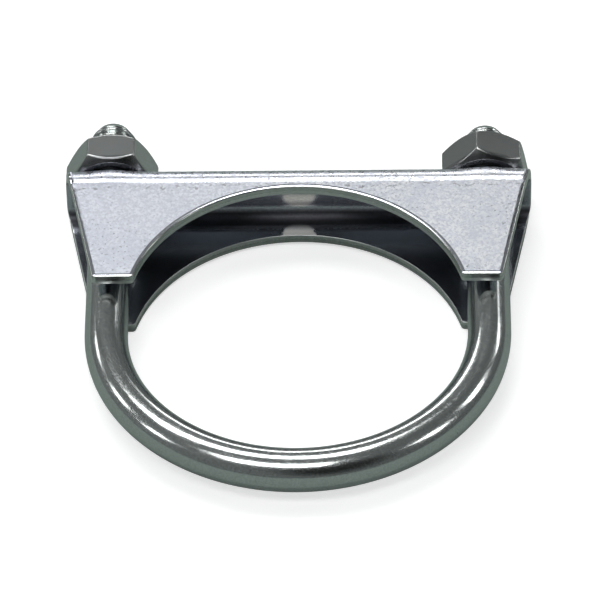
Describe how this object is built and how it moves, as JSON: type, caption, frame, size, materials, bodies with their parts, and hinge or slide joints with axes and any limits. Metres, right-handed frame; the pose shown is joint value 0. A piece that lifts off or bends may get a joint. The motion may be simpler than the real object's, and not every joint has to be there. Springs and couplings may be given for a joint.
{
  "type": "u-bolt clamp",
  "caption": "Saddle clamp for round pipe: a bent round rod with threaded legs, a stamped channel saddle with a round cut-out, and hex nuts that draw the saddle down the legs.",
  "frame": {"origin": "on the clamped pipe's axis, at the clamp's mid-plane", "axes": "+Z along the pipe's axis, +X across the legs, +Y along the legs towards the nuts"},
  "size_m": [0.0983, 0.104, 0.0192],
  "materials": {
    "rod_zinc": "bright zinc plate over smooth drawn rod, glossy",
    "saddle_zinc": "bright zinc plate over rolled sheet, finely mottled satin",
    "nut_zinc": "zinc plate over cold-formed steel, semi-gloss"
  },
  "bodies": {
    "u_bolt": {"u_bolt": "rod_zinc"},
    "saddle": {"saddle": "saddle_zinc"},
    "nut_left": {"nut_left": "nut_zinc"},
    "nut_right": {"nut_right": "nut_zinc"}
  },
  "joints": [
    {"name": "saddle_slide", "type": "slide", "parent": "u_bolt", "child": "saddle", "axis": [0, 1, 0], "range_m": [-0.01651, 0.00676]},
    {"name": "nut_left_turn", "type": "hinge", "parent": "saddle", "child": "nut_left", "pos_m": [-0.0395, 0.0475, 0], "axis": [0, 1, 0], "range_deg": [-3960, 1620]},
    {"name": "nut_right_turn", "type": "hinge", "parent": "saddle", "child": "nut_right", "pos_m": [0.0395, 0.0475, 0], "axis": [0, 1, 0], "range_deg": [-3960, 1620]}
  ],
  "couplings": [
    {"joint": "saddle_slide", "follows": "nut_left_turn", "m_per_rad": 0.00023873},
    {"joint": "nut_right_turn", "follows": "nut_left_turn", "ratio": 1}
  ]
}
